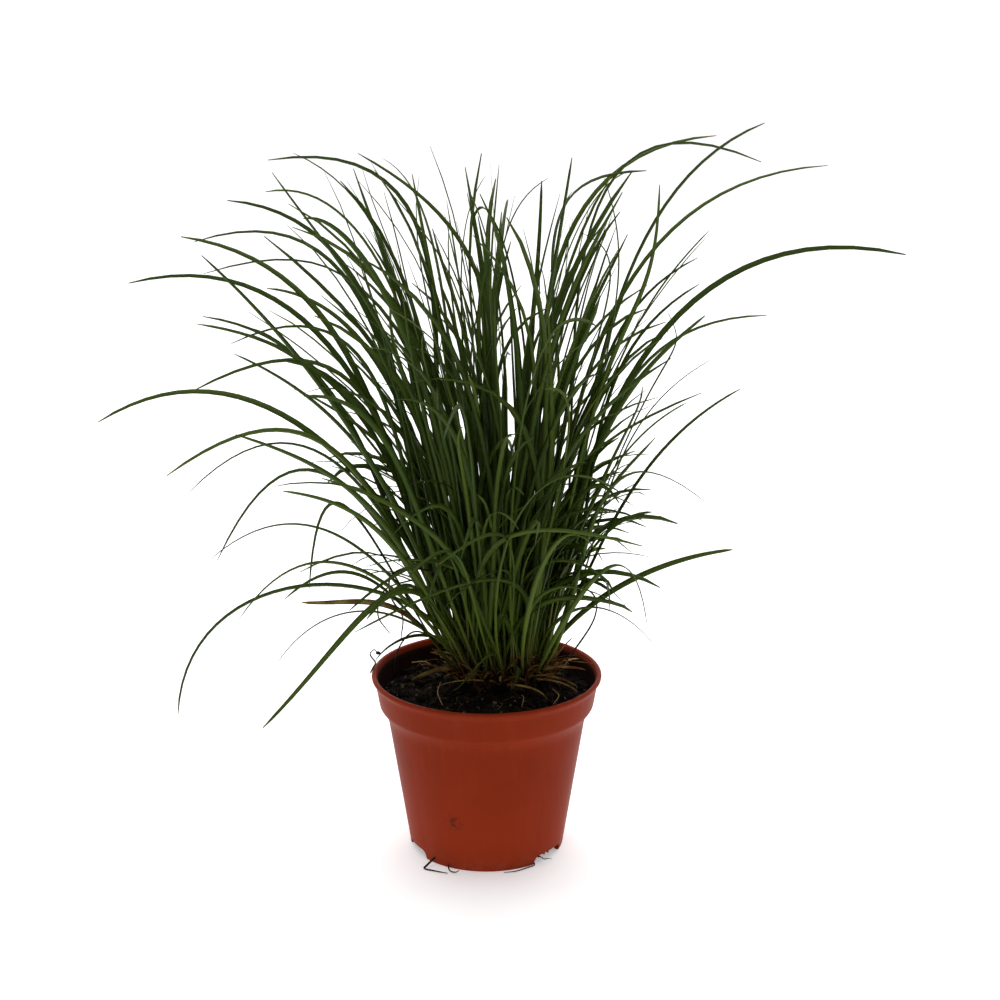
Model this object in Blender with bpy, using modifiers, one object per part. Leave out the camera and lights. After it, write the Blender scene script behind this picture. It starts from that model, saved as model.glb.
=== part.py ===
"""Potted ornamental grass clump, in metres, +Z up. The origin is on the pot's axis, level with its feet.

The pot is one moulded piece on three feet, the root ball fills it, and the crown of old sheaths sits on the
soil. Bundles of upright leaves (tufts) and the single leaves that arch clear of them grow from the crown.
Each leaf is given by three points along it, as reach from the pot's axis and height above the floor.
"""

import math

import bmesh
import bpy
from mathutils import Vector

MM = 0.001
GAP = 0.3 * MM
TURN_STEPS = 48
MERGE = 0.00005

# Pot
POT_HEIGHT = 95.2 * MM
LIP_RADIUS = 60.0 * MM
LIP_HEIGHT = 5.6 * MM
BAND_TOP_RADIUS = 57.2 * MM
BAND_FOOT_RADIUS = 55.9 * MM
BAND_HEIGHT = 17.6 * MM
BODY_TOP_RADIUS = 51.0 * MM
BODY_TOP = 68.5 * MM
FOOT_RADIUS = 40.4 * MM
WALL = 1.3 * MM
FLOOR_UNDERSIDE = 5.0 * MM
FLOOR_THICKNESS = 1.4 * MM
FOOT_COUNT = 3
FRONT_FOOT_HEADING = math.radians(-96.5)
NOTCH_WIDTH = 22.0 * MM
DRAIN_COUNT = 6
DRAIN_RADIUS = 3.5 * MM
DRAIN_REACH = 24.0 * MM

# Soil and crown
SOIL_TOP = 87.5 * MM
SOIL_EDGE = 85.4 * MM
SOIL_FLAT_RADIUS = 45.0 * MM
CROWN_CENTRE = Vector((8.0 * MM, 11.0 * MM))
CROWN_RADIUS = 30.0 * MM
CROWN_TOP = 95.5 * MM
LEAF_RING_RADIUS = 27.0 * MM
LEAF_RING_STEP = 1.6 * MM

# Leaves
LEAF_STEPS = 12
LEAF_THICKNESS = 0.32          # of its width
TIP_WIDTH = 0.24               # of the full width
TUFT_STEPS = 10
TUFT_BASE_RADIUS = 3.6 * MM
TUFT_FULL_RADIUS = 4.6 * MM
TUFT_TIP_RADIUS = 0.5 * MM
TUFT_FULL_AT = 0.4             # of the tuft's length

# The inner tufts stand nearly upright, the outer ones lean out all round.
# count, first heading in degrees, ring radius, then reach and height of a third, two thirds and the tip, in mm
TUFT_RINGS = (
    (4, 20.0, 8.0, ((15, 182), (22, 268), (34, 350))),
    (10, 26.0, 18.5, ((24, 172), (37, 248), (68, 320))),
)

# heading in degrees from +X towards +Y, then reach and height of a third, two thirds and the tip, and the
# widest width, all in mm
LEFT_LEAVES = (
    (174, (53, 183), (119, 237), (201, 224), 2.6),
    (168, (43, 196), (95, 278), (188, 293), 2.4),
    (160, (46, 188), (86, 273), (169, 314), 2.8),
    (192, (42, 178), (84, 253), (139, 319), 3.4),
    (146.5, (43, 192), (77, 287), (166, 328), 2.4),
    (155, (42, 196), (76, 293), (170, 309), 2.0),
    (165, (40, 194), (60, 286), (150, 298), 2.0),
    (177, (46, 170), (78, 243), (142, 282), 2.0),
    (187, (36, 176), (60, 260), (126, 273), 1.8),
    (170, (44, 172), (80, 238), (120, 273), 1.8),
    (180, (38, 177), (68, 250), (148, 245), 2.2),
    (151, (30, 208), (37, 320), (129, 353), 2.2),
    (138, (38, 199), (63, 297), (138, 353), 2.4),
    (183.5, (46, 170), (88, 223), (161, 204), 2.4),
    (190.5, (43, 165), (87, 219), (150, 200), 2.0),
    (198, (44, 160), (87, 211), (139, 170), 1.8),
    (195, (45, 145), (88, 181), (142, 168), 1.6),
    (202, (58, 146), (126, 150), (164, 96), 2.2),
    (206, (46, 142), (89, 168), (134, 145), 1.8),
    (213, (43, 132), (75, 162), (116, 157), 1.8),
    (209, (44, 130), (83, 141), (118, 121), 1.6),
    (222, (48, 150), (88, 141), (143, 103), 2.6),
    (204, (46, 146), (77, 195), (96, 154), 1.6),
)
RIGHT_LEAVES = (
    (-11, (50, 202), (103, 295), (203, 321), 2.8),
    (10, (48, 174), (75, 248), (145, 279), 2.4),
    (20, (44, 207), (86, 307), (188, 350), 2.0),
    (34, (58, 200), (94, 305), (178, 368), 2.4),
    (31, (51, 211), (66, 333), (169, 349), 2.0),
    (40, (35, 210), (54, 317), (160, 361), 2.2),
    (15, (48, 175), (62, 254), (111, 308), 1.6),
    (-7, (49, 171), (62, 245), (105, 302), 1.8),
    (5, (53, 156), (72, 215), (115, 260), 1.6),
    (-14, (54, 156), (83, 211), (128, 254), 2.2),
    (-26, (50, 150), (70, 205), (121, 201), 2.0),
    (-20, (52, 134), (89, 161), (129, 176), 2.6),
    (-36, (49, 134), (77, 168), (98, 140), 2.2),
)
FRONT_LEAVES = (
    (252, (35, 146), (58, 176), (92, 160), 2.4),
    (-46, (43, 158), (66, 204), (92, 206), 2.4),
    (264, (40, 190), (86, 254), (167, 262), 2.6),
    (-70, (38, 196), (72, 276), (142, 306), 2.4),
)
BACK_LEAVES = (
    (60, (40, 200), (79, 296), (158, 338), 2.4),
    (86, (42, 196), (82, 284), (166, 318), 2.6),
    (112, (38, 204), (70, 300), (156, 344), 2.4),
)

COLOURS = {
    "pot": (0.21, 0.024, 0.009, 0.45),
    "potting_soil": (0.012, 0.009, 0.007, 0.95),
    "crown": (0.16, 0.085, 0.03, 0.8),
    "tuft": (0.022, 0.055, 0.012, 0.55),
    "leaf": (0.03, 0.075, 0.016, 0.5),
}


def clear_scene():
    for item in list(bpy.data.objects):
        bpy.data.objects.remove(item)


def collection(name):
    made = bpy.data.collections.new(name)
    bpy.context.scene.collection.children.link(made)
    return made


def material(name):
    """One Principled material a kind of piece: base colour, then roughness."""
    if name in bpy.data.materials:
        return bpy.data.materials[name]
    red, green, blue, roughness = COLOURS[name]
    made = bpy.data.materials.new(name)
    made.use_nodes = True
    shader = made.node_tree.nodes["Principled BSDF"]
    shader.inputs["Base Color"].default_value = (red, green, blue, 1.0)
    shader.inputs["Roughness"].default_value = roughness
    shader.inputs["Metallic"].default_value = 0.0
    return made


def place(name, data, group, kind=None):
    made = bpy.data.objects.new(name, data)
    group.objects.link(made)
    if kind:
        data.materials.append(material(kind))
    return made


def turned(name, profile, group, kind, centre=(0.0, 0.0)):
    """A solid of revolution: profile is (radius, height) from the top, down the outer side and back in."""
    mesh = bpy.data.meshes.new(name)
    points = [(radius, 0.0, height) for radius, height in profile]
    edges = [(i, i + 1) for i in range(len(points) - 1)]
    if points[0][0] > 0:
        edges.append((len(points) - 1, 0))
    mesh.from_pydata(points, edges, [])
    made = place(name, mesh, group, kind)
    made.location = (centre[0], centre[1], 0.0)
    screw = made.modifiers.new("turn", "SCREW")
    screw.steps = TURN_STEPS
    screw.render_steps = TURN_STEPS
    screw.use_merge_vertices = True
    screw.merge_threshold = MERGE
    screw.use_smooth_shade = True
    return made


def cutter(name, mesh, group):
    made = place(name, mesh, group)
    made.hide_render = True
    made.display_type = "WIRE"
    return made


def cut(piece, tool):
    boolean = piece.modifiers.new(tool.name, "BOOLEAN")
    boolean.operation = "DIFFERENCE"
    boolean.object = tool
    boolean.solver = "EXACT"


# ---------------------------------------------------------------- pot

def outer_profile():
    """The pot's outer side, from the lip down to the foot."""
    band_foot = POT_HEIGHT - BAND_HEIGHT
    lip_foot = POT_HEIGHT - LIP_HEIGHT
    return [
        (LIP_RADIUS - 1.3 * MM, POT_HEIGHT),
        (LIP_RADIUS - 0.3 * MM, POT_HEIGHT - 0.4 * MM),
        (LIP_RADIUS, POT_HEIGHT - 1.3 * MM),
        (LIP_RADIUS, lip_foot + 1.0 * MM),
        (LIP_RADIUS - 0.6 * MM, lip_foot + 0.2 * MM),
        (BAND_TOP_RADIUS, lip_foot - 0.4 * MM),
        (BAND_FOOT_RADIUS, band_foot + 1.0 * MM),
        (BAND_FOOT_RADIUS - 0.4 * MM, band_foot + 0.2 * MM),
        (BAND_FOOT_RADIUS - 1.3 * MM, band_foot - 0.2 * MM),
        (BODY_TOP_RADIUS + 0.4 * MM, BODY_TOP + 1.5 * MM),
        (BODY_TOP_RADIUS, BODY_TOP),
        (FOOT_RADIUS, 0.0),
    ]


def inner_profile():
    """The pot's inner side, from the edge of its floor up to the lip."""
    band_foot = POT_HEIGHT - BAND_HEIGHT
    lip_foot = POT_HEIGHT - LIP_HEIGHT
    floor_top = FLOOR_UNDERSIDE + FLOOR_THICKNESS
    body_lean = (BODY_TOP_RADIUS - FOOT_RADIUS) / BODY_TOP
    return [
        (FOOT_RADIUS + body_lean * floor_top - WALL, floor_top),
        (BODY_TOP_RADIUS - WALL, BODY_TOP),
        (BAND_FOOT_RADIUS - 1.4 * MM - WALL, band_foot + 0.4 * MM),
        (BAND_FOOT_RADIUS - WALL, band_foot + 1.8 * MM),
        (BAND_TOP_RADIUS - WALL, lip_foot),
        (LIP_RADIUS - 2.4 * MM, POT_HEIGHT - 0.5 * MM),
    ]


def foot_profile():
    """Across the foot's flat underside, up its inner side and under the pot's floor to the axis."""
    return [
        (FOOT_RADIUS - 3.0 * MM, 0.0),
        (FOOT_RADIUS - 2.4 * MM, FLOOR_UNDERSIDE),
        (0.0, FLOOR_UNDERSIDE),
    ]


def make_pot(parts, cutters):
    wall = outer_profile() + foot_profile()
    floor_and_inside = [(0.0, FLOOR_UNDERSIDE + FLOOR_THICKNESS)] + inner_profile()
    pot = turned("pot", wall + floor_and_inside, parts, "pot")
    for number in range(FOOT_COUNT):
        turn = 2 * math.pi * (number + 0.5) / FOOT_COUNT
        heading = FRONT_FOOT_HEADING + turn
        cut(pot, foot_notch(f"foot_notch_{number + 1}", heading, cutters))
    for number in range(DRAIN_COUNT):
        heading = FRONT_FOOT_HEADING + 2 * math.pi * number / DRAIN_COUNT
        cut(pot, drain_hole(f"drain_hole_{number + 1}", heading, cutters))
    return pot


def foot_notch(name, heading, group):
    """A block as tall as the foot, which opens the foot ring between two feet."""
    mesh = bpy.data.meshes.new(name)
    shape = bmesh.new()
    bmesh.ops.create_cube(shape, size=1.0)
    bmesh.ops.scale(shape, vec=(12.0 * MM, NOTCH_WIDTH, 2 * FLOOR_UNDERSIDE - 0.4 * MM), verts=shape.verts)
    top = [vertex for vertex in shape.verts if vertex.co.z > 0]
    bmesh.ops.scale(shape, vec=(1.0, 0.86, 1.0), verts=top)
    shape.to_mesh(mesh)
    shape.free()
    made = cutter(name, mesh, group)
    made.location = (FOOT_RADIUS * math.cos(heading), FOOT_RADIUS * math.sin(heading), 0.0)
    made.rotation_euler.z = heading
    return made


def drain_hole(name, heading, group):
    mesh = bpy.data.meshes.new(name)
    shape = bmesh.new()
    bmesh.ops.create_cone(
        shape, cap_ends=True, segments=12, radius1=DRAIN_RADIUS, radius2=DRAIN_RADIUS, depth=8.0 * MM
    )
    shape.to_mesh(mesh)
    shape.free()
    made = cutter(name, mesh, group)
    middle = FLOOR_UNDERSIDE + FLOOR_THICKNESS / 2
    made.location = (DRAIN_REACH * math.cos(heading), DRAIN_REACH * math.sin(heading), middle)
    return made


# ---------------------------------------------------------------- soil and crown

def make_soil(parts):
    """Fills the pot to just under its lip, a gap clear of the wall, with a level middle for the crown."""
    inside = inner_profile()
    wall = [(radius - GAP - 0.1 * MM, height) for radius, height in reversed(inside[:-1])]
    floor = wall[-1][1] + GAP
    wall = [(radius, height) for radius, height in wall if height < SOIL_EDGE]
    band_lean = (inside[4][0] - inside[3][0]) / (inside[4][1] - inside[3][1])
    edge = inside[3][0] - GAP - 0.1 * MM + band_lean * (SOIL_EDGE - inside[3][1])
    profile = [(0.0, SOIL_TOP), (SOIL_FLAT_RADIUS, SOIL_TOP), (edge, SOIL_EDGE)]
    profile += wall[:-1] + [(wall[-1][0], floor), (0.0, floor)]
    turned("potting_soil", profile, parts, "potting_soil")


def make_crown(parts):
    foot = SOIL_TOP + GAP
    profile = [
        (0.0, CROWN_TOP),
        (CROWN_RADIUS - 2.5 * MM, CROWN_TOP),
        (CROWN_RADIUS - 0.8 * MM, CROWN_TOP - 1.2 * MM),
        (CROWN_RADIUS, CROWN_TOP - 3.5 * MM),
        (CROWN_RADIUS, foot),
        (0.0, foot),
    ]
    turned("crown", profile, parts, "crown", CROWN_CENTRE)


# ---------------------------------------------------------------- tufts and leaves

def at(heading, reach, height):
    return Vector((reach * math.cos(heading), reach * math.sin(heading), height))


def on_crown(heading, reach, height):
    point = at(heading, reach, height)
    point.xy += CROWN_CENTRE
    return point


def curve_through(start, third, two_thirds, tip, steps):
    """Points along the cubic that passes through the four given ones."""
    leave = (-5 * start + 18 * third - 9 * two_thirds + 2 * tip) / 6
    arrive = (2 * start - 9 * third + 18 * two_thirds - 5 * tip) / 6
    points = []
    for step in range(steps + 1):
        t = step / steps
        s = 1 - t
        points.append(s**3 * start + 3 * s * s * t * leave + 3 * s * t * t * arrive + t**3 * tip)
    return points


def swept(name, points, radii, group, kind):
    """A POLY curve through the points, as thick at each as its radius says, with both ends closed."""
    curve = bpy.data.curves.new(name, "CURVE")
    curve.dimensions = "3D"
    curve.twist_mode = "MINIMUM"
    curve.use_fill_caps = True
    spline = curve.splines.new("POLY")
    spline.points.add(len(points) - 1)
    for knot, point, radius in zip(spline.points, points, radii):
        knot.co = (*point, 1.0)
        knot.radius = radius
    return place(name, curve, group, kind)


def blade_section(group):
    """A leaf's section, one unit wide: flat above, with a keel below."""
    curve = bpy.data.curves.new("blade_section", "CURVE")
    curve.dimensions = "2D"
    spline = curve.splines.new("POLY")
    corners = ((-0.5, 0.0), (0.5, 0.0), (0.0, -LEAF_THICKNESS))
    spline.points.add(len(corners) - 1)
    for knot, (across, up) in zip(spline.points, corners):
        knot.co = (across, up, 0.0, 1.0)
    spline.use_cyclic_u = True
    made = place("blade_section", curve, group)
    made.hide_render = True
    made.display_type = "WIRE"
    return made


def leaf_width(along):
    """Of the full width: narrower at the sheath, full from a quarter to a half, then tapering to the tip."""
    if along < 0.25:
        return 0.7 + 0.3 * along / 0.25
    if along < 0.5:
        return 1.0
    return 1.0 - (1.0 - TIP_WIDTH) * ((along - 0.5) / 0.5) ** 1.5


def make_leaf(name, design, ring, section, parts):
    heading, *stations, width = design
    heading = math.radians(heading)
    width *= MM
    knots = [at(heading, reach * MM, height * MM) for reach, height in stations]
    foot = CROWN_TOP + GAP + width / 2
    start = on_crown(heading, LEAF_RING_RADIUS - ring * LEAF_RING_STEP, foot)
    points = curve_through(start, *knots, LEAF_STEPS)
    widths = [width * leaf_width(step / LEAF_STEPS) for step in range(LEAF_STEPS + 1)]
    leaf = swept(name, points, widths, parts, "leaf")
    leaf.data.bevel_mode = "OBJECT"
    leaf.data.bevel_object = section


def tuft_radius(along):
    if along < TUFT_FULL_AT:
        return TUFT_BASE_RADIUS + (TUFT_FULL_RADIUS - TUFT_BASE_RADIUS) * along / TUFT_FULL_AT
    past = (along - TUFT_FULL_AT) / (1 - TUFT_FULL_AT)
    return TUFT_FULL_RADIUS + (TUFT_TIP_RADIUS - TUFT_FULL_RADIUS) * past**1.3


def make_tuft(name, heading, ring_radius, stations, parts):
    knots = [at(heading, reach * MM, height * MM) for reach, height in stations]
    start = on_crown(heading, ring_radius * MM, CROWN_TOP + GAP + 0.35 * TUFT_BASE_RADIUS)
    points = curve_through(start, *knots, TUFT_STEPS)
    radii = [tuft_radius(step / TUFT_STEPS) for step in range(TUFT_STEPS + 1)]
    tuft = swept(name, points, radii, parts, "tuft")
    tuft.data.bevel_depth = 1.0
    tuft.data.bevel_resolution = 2


def make_tufts(parts):
    number = 0
    for count, first, ring_radius, stations in TUFT_RINGS:
        for place_in_ring in range(count):
            number += 1
            heading = math.radians(first + 360 * place_in_ring / count)
            make_tuft(f"tuft_{number:02d}", heading, ring_radius, stations, parts)


def make_leaves(parts, cutters):
    section = blade_section(cutters)
    sides = {"left": LEFT_LEAVES, "right": RIGHT_LEAVES, "front": FRONT_LEAVES, "back": BACK_LEAVES}
    for side, designs in sides.items():
        for number, design in enumerate(sorted(designs)):
            make_leaf(f"leaf_{side}_{number + 1:02d}", design, number % 3, section, parts)


def main():
    clear_scene()
    parts = collection("potted_ornamental_grass")
    cutters = collection("cutters_and_guides")
    make_pot(parts, cutters)
    make_soil(parts)
    make_crown(parts)
    make_tufts(parts)
    make_leaves(parts, cutters)


main()
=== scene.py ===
"""Potted ornamental grass clump: its looks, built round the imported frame, laid out as a Blender add-on.

Each leaf is one narrow blade, modelled once and bent along its own arc. A tuft is a bundle of such blades.
"""

import math
import random

import bmesh
import bpy
import numpy as np
from bpy.props import FloatProperty, FloatVectorProperty, IntProperty, PointerProperty
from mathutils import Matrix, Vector, noise


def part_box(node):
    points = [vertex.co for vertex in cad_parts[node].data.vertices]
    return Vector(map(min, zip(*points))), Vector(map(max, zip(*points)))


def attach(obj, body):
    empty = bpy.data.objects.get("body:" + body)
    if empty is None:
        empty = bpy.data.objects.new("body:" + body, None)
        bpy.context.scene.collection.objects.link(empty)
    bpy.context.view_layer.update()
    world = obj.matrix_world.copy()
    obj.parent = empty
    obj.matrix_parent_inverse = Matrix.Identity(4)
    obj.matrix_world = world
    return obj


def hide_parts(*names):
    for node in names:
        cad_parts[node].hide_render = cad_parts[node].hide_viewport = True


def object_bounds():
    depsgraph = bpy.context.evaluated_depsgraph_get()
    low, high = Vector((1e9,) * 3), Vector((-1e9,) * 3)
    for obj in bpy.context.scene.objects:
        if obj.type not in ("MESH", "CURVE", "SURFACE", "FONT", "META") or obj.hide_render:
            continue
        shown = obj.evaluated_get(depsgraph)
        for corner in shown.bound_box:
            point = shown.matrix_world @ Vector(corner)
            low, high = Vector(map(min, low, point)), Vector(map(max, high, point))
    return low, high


bl_info = {
    "name": "Potted Grass Clump",
    "version": (1, 0, 0),
    "blender": (4, 5, 0),
    "location": "3D View > Sidebar > Grass",
    "description": "Builds a clump of ornamental grass in a nursery pot round its packed frame",
    "category": "Object",
}

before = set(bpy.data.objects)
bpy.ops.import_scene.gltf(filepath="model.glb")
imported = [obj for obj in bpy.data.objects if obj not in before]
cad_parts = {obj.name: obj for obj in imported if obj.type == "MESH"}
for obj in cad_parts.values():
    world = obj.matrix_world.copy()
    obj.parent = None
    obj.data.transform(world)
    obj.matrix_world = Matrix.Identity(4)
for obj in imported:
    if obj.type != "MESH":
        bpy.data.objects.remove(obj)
CAD_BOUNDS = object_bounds()

MM = 0.001
POT_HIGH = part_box("pot")[1]
SOIL_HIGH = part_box("potting_soil")[1]
CROWN_LOW, CROWN_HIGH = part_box("crown")

LIP_RADIUS = POT_HIGH.x
POT_HEIGHT = POT_HIGH.z
SOIL_RADIUS = SOIL_HIGH.x
SOIL_TOP = SOIL_HIGH.z
CROWN_CENTRE = (CROWN_LOW + CROWN_HIGH) / 2
CROWN_RADIUS = (CROWN_HIGH.x - CROWN_LOW.x) / 2
CROWN_TOP = CROWN_HIGH.z

# The two rings of tufts, as in the frame: how many, the first one's heading in degrees and the ring's radius
# in mm. A ring with a radius past OUTER_RING is the outer one.
TUFT_RINGS = ((4, 20.0, 8.0), (10, 26.0, 18.5))
OUTER_RING = 12.0

# The single leaves, as in the frame: heading in degrees from +X towards +Y, then reach and height at a third,
# at two thirds and at the tip, and the widest width, all in mm.
SINGLE_LEAVES = {
    "left": (
        (174, (53, 183), (119, 237), (201, 224), 2.6),
        (168, (43, 196), (95, 278), (188, 293), 2.4),
        (160, (46, 188), (86, 273), (169, 314), 2.8),
        (192, (42, 178), (84, 253), (139, 319), 3.4),
        (146.5, (43, 192), (77, 287), (166, 328), 2.4),
        (155, (42, 196), (76, 293), (170, 309), 2.0),
        (165, (40, 194), (60, 286), (150, 298), 2.0),
        (177, (46, 170), (78, 243), (142, 282), 2.0),
        (187, (36, 176), (60, 260), (126, 273), 1.8),
        (170, (44, 172), (80, 238), (120, 273), 1.8),
        (180, (38, 177), (68, 250), (148, 245), 2.2),
        (151, (30, 208), (37, 320), (129, 353), 2.2),
        (138, (38, 199), (63, 297), (138, 353), 2.4),
        (183.5, (46, 170), (88, 223), (161, 204), 2.4),
        (190.5, (43, 165), (87, 219), (150, 200), 2.0),
        (198, (44, 160), (87, 211), (139, 170), 1.8),
        (195, (45, 145), (88, 181), (142, 168), 1.6),
        (202, (58, 146), (126, 150), (164, 96), 2.2),
        (206, (46, 142), (89, 168), (134, 145), 1.8),
        (213, (43, 132), (75, 162), (116, 157), 1.8),
        (209, (44, 130), (83, 141), (118, 121), 1.6),
        (222, (48, 150), (88, 141), (143, 103), 2.6),
        (204, (46, 146), (77, 195), (96, 154), 1.6),
    ),
    "right": (
        (-11, (50, 202), (103, 295), (203, 321), 2.8),
        (10, (48, 174), (75, 248), (145, 279), 2.4),
        (20, (44, 207), (86, 307), (188, 350), 2.0),
        (34, (58, 200), (94, 305), (178, 368), 2.4),
        (31, (51, 211), (66, 333), (169, 349), 2.0),
        (40, (35, 210), (54, 317), (160, 361), 2.2),
        (15, (48, 175), (62, 254), (111, 308), 1.6),
        (-7, (49, 171), (62, 245), (105, 302), 1.8),
        (5, (53, 156), (72, 215), (115, 260), 1.6),
        (-14, (54, 156), (83, 211), (128, 254), 2.2),
        (-26, (50, 150), (70, 205), (121, 201), 2.0),
        (-20, (52, 134), (89, 161), (129, 176), 2.6),
        (-36, (49, 134), (77, 168), (98, 140), 2.2),
    ),
    "front": (
        (252, (35, 146), (58, 176), (92, 160), 2.4),
        (-46, (43, 158), (66, 204), (92, 206), 2.4),
        (264, (40, 190), (86, 254), (167, 262), 2.6),
        (-70, (38, 196), (72, 276), (142, 306), 2.4),
    ),
    "back": (
        (60, (40, 200), (79, 296), (158, 338), 2.4),
        (86, (42, 196), (82, 284), (166, 318), 2.6),
        (112, (38, 204), (70, 300), (156, 344), 2.4),
    ),
}
LEAF_RING_RADIUS = 27.0 * MM
LEAF_RING_STEP = 1.6 * MM
# A folded, rolled blade is cut wider than the plain solid it stands for, and its foot stands further in.
BLADE_FULLNESS = 1.28
FOOT_INWARDS = 0.8
# Blades start inside the crown. Threads are the finest of them, and old sheaths stand round their feet.
LEAF_START = CROWN_TOP - 6.0 * MM
SHOOT_START = CROWN_TOP - 7.0 * MM
THREAD_WIDTH = 0.0014
OLD_SHEATHS = 210

# Leaves placed one by one: the heading in which each leaves the crown and how far out it starts, then three
# points on its way (x, y, z) and its width, in mm; then how dry it is, from 0 to 1.
PLACED_LEAVES = {
    "upright_leaves": (
        (100, 6, (21, 10, 217), (32, 5, 296), (42, 0, 362), 3.0, 0.0),
        (80, 12, (37, 20, 215), (34, 30, 291), (43, 25, 342), 2.8, 0.0),
        (120, 14, (17, 25, 219), (25, 30, 291), (28, 35, 346), 3.0, 0.0),
        (150, 14, (2, 20, 225), (7, 25, 308), (31, 30, 348), 2.8, 0.0),
        (200, 16, (-10, -4, 232), (-12, -10, 312), (0, -5, 354), 2.6, 0.0),
        (250, 8, (10, 0, 225), (5, -15, 305), (-8, -25, 350), 3.0, 0.0),
        (290, 6, (22, 5, 229), (9, -10, 321), (-6, -20, 334), 2.6, 0.0),
        (0, 20, (53, 10, 225), (65, 0, 300), (57, -10, 354), 3.0, 0.0),
        (330, 18, (44, -10, 230), (60, -15, 300), (47, -20, 328), 2.8, 0.0),
        (345, 22, (54, -14, 240), (74, -28, 298), (82, -38, 354), 2.4, 0.0),
        (10, 24, (72, 0, 223), (92, -12, 268), (88, -22, 291), 1.8, 0.0),
        (70, 10, (33, -8, 243), (34, -20, 330), (76, -34, 360), 2.8, 0.0),
    ),
    "left_leaves": (
        (190, 22, (-30, -20, 226), (-58, -38, 300), (-98, -56, 362), 2.0, 0.0),
        (160, 22, (-28, 10, 233), (-62, 26, 318), (-112, 38, 340), 2.8, 0.0),
        (210, 20, (-22, -28, 224), (-52, -46, 312), (-84, -58, 341), 3.2, 0.0),
        (135, 18, (5, 22, 225), (-8, 40, 305), (-66, 58, 357), 2.8, 0.0),
        (200, 24, (-33, -18, 190), (-66, -36, 250), (-110, -56, 286), 3.0, 0.0),
        (215, 24, (-40, -28, 168), (-72, -46, 212), (-118, -66, 240), 3.2, 0.0),
        (170, 24, (-44, 10, 192), (-84, 18, 250), (-148, 28, 274), 2.8, 0.0),
        (225, 22, (-36, -34, 160), (-62, -52, 196), (-96, -72, 214), 2.8, 0.0),
        (180, 25, (-42, 0, 178), (-78, 0, 232), (-126, 2, 264), 3.0, 0.0),
        (240, 20, (-28, -36, 178), (-50, -58, 238), (-84, -80, 262), 3.0, 0.0),
        (150, 24, (-34, 36, 200), (-70, 62, 262), (-118, 84, 282), 2.8, 0.0),
    ),
    "front_leaves": (
        (300, 18, (20, -18, 142), (-6, -40, 158), (-64, -58, 138), 3.2, 0.0),
        (190, 10, (-8, -24, 152), (-30, -46, 170), (-66, -66, 152), 2.4, 0.0),
        (330, 14, (22, -26, 138), (40, -48, 158), (70, -68, 152), 2.4, 0.0),
        (350, 18, (36, -20, 130), (58, -34, 142), (84, -44, 126), 2.0, 0.0),
        (265, 20, (-6, -36, 146), (-15, -60, 179), (-36, -85, 176), 3.0, 0.0),
        (275, 22, (6, -42, 158), (24, -68, 212), (62, -98, 221), 2.8, 0.0),
        (285, 20, (14, -32, 150), (9, -58, 187), (-22, -80, 180), 2.6, 0.0),
        (300, 22, (22, -38, 146), (36, -60, 186), (56, -84, 182), 2.6, 0.0),
        (255, 18, (-2, -30, 168), (-14, -52, 234), (-46, -74, 258), 3.0, 0.0),
        (310, 20, (30, -28, 172), (40, -46, 236), (28, -66, 262), 2.8, 0.0),
        (235, 22, (-26, -28, 140), (-40, -46, 158), (-58, -62, 146), 2.6, 0.0),
    ),
    "right_leaves": (
        (355, 24, (50, 0, 196), (76, -4, 252), (108, -10, 286), 2.8, 0.0),
        (340, 24, (46, -22, 176), (70, -38, 226), (96, -52, 252), 2.8, 0.0),
        (25, 24, (52, 30, 204), (80, 48, 272), (116, 64, 316), 2.8, 0.0),
        (325, 22, (42, -30, 152), (60, -46, 186), (80, -60, 200), 2.6, 0.0),
    ),
    "low_leaves": (
        (130, 26, (-32, 40, 100.5), (-50, 27, 100.6), (-58.5, 2, 100.0), 2.8, 0.12),
        (190, 24, (-18, 4, 95.5), (-27, 0, 95.5), (-39, -5, 92.5), 3.0, 0.45),
        (265, 16, (2, -12, 109), (-8, -18, 101.0), (-17, -25, 94.5), 3.6, 0.0),
        (20, 10, (16, 0, 103), (21, 0, 101.5), (26, 0, 99.5), 1.4, 0.85),
        (5, 26, (37, 6, 98.2), (46, 5, 98.8), (56, 4, 98.0), 0.8, 0.7),
        (300, 20, (17, -10, 101.0), (16, -14, 97.5), (13, -19, 93.0), 3.6, 0.22),
        (310, 24, (28, -8, 96.2), (37, -10, 95.5), (47, -12, 91.6), 1.0, 0.75),
        (200, 28, (-22, 10, 94.0), (-12, 8, 97.0), (-3, 6, 94.5), 1.8, 0.9),
        (330, 28, (30, -2, 97.0), (40, -3, 98.8), (52, 2, 95.0), 1.8, 0.95),
        (315, 26, (28, -10, 94.5), (37, -15, 95.0), (47, -20, 91.4), 1.6, 0.95),
        (345, 28, (38, 10, 96.0), (46, 14, 99.0), (53, 18, 95.5), 1.4, 0.9),
        (250, 26, (-4, -14, 95.5), (-14, -16, 96.0), (-26, -14, 91.8), 1.2, 0.9),
        (280, 28, (12, -17, 94.5), (22, -22, 94.8), (31, -30, 91.4), 1.2, 0.85),
        (205, 27, (-40, -14, 131), (-64, -24, 142), (-92, -34, 145), 3.2, 0.50),
    ),
}
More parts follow.
